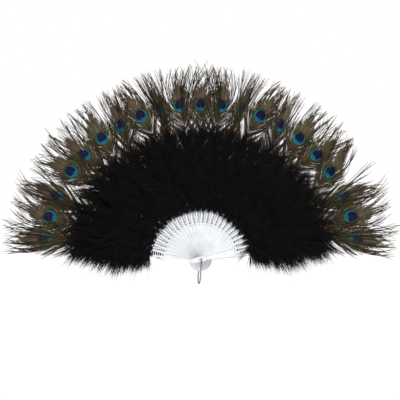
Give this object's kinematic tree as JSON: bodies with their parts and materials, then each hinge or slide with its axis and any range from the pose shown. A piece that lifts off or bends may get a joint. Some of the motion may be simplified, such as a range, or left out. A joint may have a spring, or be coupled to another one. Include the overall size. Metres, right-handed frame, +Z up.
{
  "type": "feather fan",
  "caption": "Folding hand fan: pierced plastic sticks on a rivet, each with a black down plume and most with a peacock eye feather; it folds shut and hangs by a wire loop.",
  "frame": {"origin": "on the rivet's axis, in the middle of the stack of sticks, where a hand holds the fan", "axes": "+X to the right of someone facing the fan, +Y away from them through the stack, +Z up along the middle stick"},
  "size_m": [0.5998, 0.0592, 0.3409],
  "materials": {
    "white_plastic": "satin",
    "black_down": "matte",
    "eyed_plume": "satin",
    "white_rivet": "gloss",
    "loop_wire": "satin",
    "black_tape": "satin"
  },
  "bodies": {
    "pivot": {"rivet": "white_rivet", "rivet_washer": "white_rivet", "stick_13": "white_plastic", "plume_13": "eyed_plume", "spacing_tape": "black_tape"},
    "front_guard_blade": {"front_guard": "white_plastic", "plume_01": "eyed_plume"},
    "blade_02": {"stick_02": "white_plastic", "plume_02": "eyed_plume"},
    "blade_03": {"stick_03": "white_plastic", "plume_03": "eyed_plume"},
    "blade_04": {"stick_04": "white_plastic", "plume_04": "eyed_plume"},
    "blade_05": {"stick_05": "white_plastic", "plume_05": "black_down"},
    "blade_06": {"stick_06": "white_plastic", "plume_06": "eyed_plume"},
    "blade_07": {"stick_07": "white_plastic", "plume_07": "eyed_plume"},
    "blade_08": {"stick_08": "white_plastic", "plume_08": "eyed_plume"},
    "blade_09": {"stick_09": "white_plastic", "plume_09": "black_down"},
    "blade_10": {"stick_10": "white_plastic", "plume_10": "eyed_plume"},
    "blade_11": {"stick_11": "white_plastic", "plume_11": "eyed_plume"},
    "blade_12": {"stick_12": "white_plastic", "plume_12": "eyed_plume"},
    "blade_14": {"stick_14": "white_plastic", "plume_14": "eyed_plume"},
    "blade_15": {"stick_15": "white_plastic", "plume_15": "eyed_plume"},
    "blade_16": {"stick_16": "white_plastic", "plume_16": "eyed_plume"},
    "blade_17": {"stick_17": "white_plastic", "plume_17": "black_down"},
    "blade_18": {"stick_18": "white_plastic", "plume_18": "eyed_plume"},
    "blade_19": {"stick_19": "white_plastic", "plume_19": "eyed_plume"},
    "blade_20": {"stick_20": "white_plastic", "plume_20": "eyed_plume"},
    "blade_21": {"stick_21": "white_plastic", "plume_21": "eyed_plume"},
    "blade_22": {"stick_22": "white_plastic", "plume_22": "black_down"},
    "blade_23": {"stick_23": "white_plastic", "plume_23": "eyed_plume"},
    "blade_24": {"stick_24": "white_plastic", "plume_24": "eyed_plume"},
    "rear_guard_blade": {"rear_guard": "white_plastic", "plume_25": "eyed_plume"},
    "loop": {"wire_loop": "loop_wire"}
  },
  "joints": [
    {"name": "front_guard_fold", "type": "hinge", "parent": "pivot", "child": "front_guard_blade", "pos_m": [0, 0, 0], "axis": [0, -1, 0], "range_deg": [0, 79], "deforming": ["plume_01", "plume_13", "spacing_tape"]},
    {"name": "blade_02_fold", "type": "hinge", "parent": "pivot", "child": "blade_02", "pos_m": [0, 0, 0], "axis": [0, -1, 0], "range_deg": [0, 72.42], "deforming": ["plume_02"]},
    {"name": "blade_03_fold", "type": "hinge", "parent": "pivot", "child": "blade_03", "pos_m": [0, 0, 0], "axis": [0, -1, 0], "range_deg": [0, 65.83], "deforming": ["plume_03"]},
    {"name": "blade_04_fold", "type": "hinge", "parent": "pivot", "child": "blade_04", "pos_m": [0, 0, 0], "axis": [0, -1, 0], "range_deg": [0, 59.25], "deforming": ["plume_04"]},
    {"name": "blade_05_fold", "type": "hinge", "parent": "pivot", "child": "blade_05", "pos_m": [0, 0, 0], "axis": [0, -1, 0], "range_deg": [0, 52.67], "deforming": ["plume_05"]},
    {"name": "blade_06_fold", "type": "hinge", "parent": "pivot", "child": "blade_06", "pos_m": [0, 0, 0], "axis": [0, -1, 0], "range_deg": [0, 46.08], "deforming": ["plume_06"]},
    {"name": "blade_07_fold", "type": "hinge", "parent": "pivot", "child": "blade_07", "pos_m": [0, 0, 0], "axis": [0, -1, 0], "range_deg": [0, 39.5], "deforming": ["plume_07"]},
    {"name": "blade_08_fold", "type": "hinge", "parent": "pivot", "child": "blade_08", "pos_m": [0, 0, 0], "axis": [0, -1, 0], "range_deg": [0, 32.92], "deforming": ["plume_08"]},
    {"name": "blade_09_fold", "type": "hinge", "parent": "pivot", "child": "blade_09", "pos_m": [0, 0, 0], "axis": [0, -1, 0], "range_deg": [0, 26.33], "deforming": ["plume_09"]},
    {"name": "blade_10_fold", "type": "hinge", "parent": "pivot", "child": "blade_10", "pos_m": [0, 0, 0], "axis": [0, -1, 0], "range_deg": [0, 19.75], "deforming": ["plume_10"]},
    {"name": "blade_11_fold", "type": "hinge", "parent": "pivot", "child": "blade_11", "pos_m": [0, 0, 0], "axis": [0, -1, 0], "range_deg": [0, 13.17], "deforming": ["plume_11"]},
    {"name": "blade_12_fold", "type": "hinge", "parent": "pivot", "child": "blade_12", "pos_m": [0, 0, 0], "axis": [0, -1, 0], "range_deg": [0, 6.58], "deforming": ["plume_12"]},
    {"name": "blade_14_fold", "type": "hinge", "parent": "pivot", "child": "blade_14", "pos_m": [0, 0, 0], "axis": [0, -1, 0], "range_deg": [-6.75, 0], "deforming": ["plume_14"]},
    {"name": "blade_15_fold", "type": "hinge", "parent": "pivot", "child": "blade_15", "pos_m": [0, 0, 0], "axis": [0, -1, 0], "range_deg": [-13.5, 0], "deforming": ["plume_15"]},
    {"name": "blade_16_fold", "type": "hinge", "parent": "pivot", "child": "blade_16", "pos_m": [0, 0, 0], "axis": [0, -1, 0], "range_deg": [-20.25, 0], "deforming": ["plume_16"]},
    {"name": "blade_17_fold", "type": "hinge", "parent": "pivot", "child": "blade_17", "pos_m": [0, 0, 0], "axis": [0, -1, 0], "range_deg": [-27, 0], "deforming": ["plume_17"]},
    {"name": "blade_18_fold", "type": "hinge", "parent": "pivot", "child": "blade_18", "pos_m": [0, 0, 0], "axis": [0, -1, 0], "range_deg": [-33.75, 0], "deforming": ["plume_18"]},
    {"name": "blade_19_fold", "type": "hinge", "parent": "pivot", "child": "blade_19", "pos_m": [0, 0, 0], "axis": [0, -1, 0], "range_deg": [-40.5, 0], "deforming": ["plume_19"]},
    {"name": "blade_20_fold", "type": "hinge", "parent": "pivot", "child": "blade_20", "pos_m": [0, 0, 0], "axis": [0, -1, 0], "range_deg": [-47.25, 0], "deforming": ["plume_20"]},
    {"name": "blade_21_fold", "type": "hinge", "parent": "pivot", "child": "blade_21", "pos_m": [0, 0, 0], "axis": [0, -1, 0], "range_deg": [-54, 0], "deforming": ["plume_21"]},
    {"name": "blade_22_fold", "type": "hinge", "parent": "pivot", "child": "blade_22", "pos_m": [0, 0, 0], "axis": [0, -1, 0], "range_deg": [-60.75, 0], "deforming": ["plume_22"]},
    {"name": "blade_23_fold", "type": "hinge", "parent": "pivot", "child": "blade_23", "pos_m": [0, 0, 0], "axis": [0, -1, 0], "range_deg": [-67.5, 0], "deforming": ["plume_23"]},
    {"name": "blade_24_fold", "type": "hinge", "parent": "pivot", "child": "blade_24", "pos_m": [0, 0, 0], "axis": [0, -1, 0], "range_deg": [-74.25, 0], "deforming": ["plume_24"]},
    {"name": "rear_guard_fold", "type": "hinge", "parent": "pivot", "child": "rear_guard_blade", "pos_m": [0, 0, 0], "axis": [0, -1, 0], "range_deg": [-81, 0], "deforming": ["plume_25"]},
    {"name": "loop_swing", "type": "hinge", "parent": "pivot", "child": "loop", "pos_m": [0, 0, 0], "axis": [0, 1, 0], "range_deg": [-80, 80]}
  ],
  "couplings": [
    {"joint": "blade_02_fold", "follows": "front_guard_fold", "ratio": 0.91667},
    {"joint": "blade_03_fold", "follows": "front_guard_fold", "ratio": 0.83333},
    {"joint": "blade_04_fold", "follows": "front_guard_fold", "ratio": 0.75},
    {"joint": "blade_05_fold", "follows": "front_guard_fold", "ratio": 0.66667},
    {"joint": "blade_06_fold", "follows": "front_guard_fold", "ratio": 0.58333},
    {"joint": "blade_07_fold", "follows": "front_guard_fold", "ratio": 0.5},
    {"joint": "blade_08_fold", "follows": "front_guard_fold", "ratio": 0.41667},
    {"joint": "blade_09_fold", "follows": "front_guard_fold", "ratio": 0.33333},
    {"joint": "blade_10_fold", "follows": "front_guard_fold", "ratio": 0.25},
    {"joint": "blade_11_fold", "follows": "front_guard_fold", "ratio": 0.16667},
    {"joint": "blade_12_fold", "follows": "front_guard_fold", "ratio": 0.083333},
    {"joint": "blade_14_fold", "follows": "front_guard_fold", "ratio": -0.085443},
    {"joint": "blade_15_fold", "follows": "front_guard_fold", "ratio": -0.17089},
    {"joint": "blade_16_fold", "follows": "front_guard_fold", "ratio": -0.25633},
    {"joint": "blade_17_fold", "follows": "front_guard_fold", "ratio": -0.34177},
    {"joint": "blade_18_fold", "follows": "front_guard_fold", "ratio": -0.42722},
    {"joint": "blade_19_fold", "follows": "front_guard_fold", "ratio": -0.51266},
    {"joint": "blade_20_fold", "follows": "front_guard_fold", "ratio": -0.5981},
    {"joint": "blade_21_fold", "follows": "front_guard_fold", "ratio": -0.68354},
    {"joint": "blade_22_fold", "follows": "front_guard_fold", "ratio": -0.76899},
    {"joint": "blade_23_fold", "follows": "front_guard_fold", "ratio": -0.85443},
    {"joint": "blade_24_fold", "follows": "front_guard_fold", "ratio": -0.93987},
    {"joint": "rear_guard_fold", "follows": "front_guard_fold", "ratio": -1.0253}
  ]
}
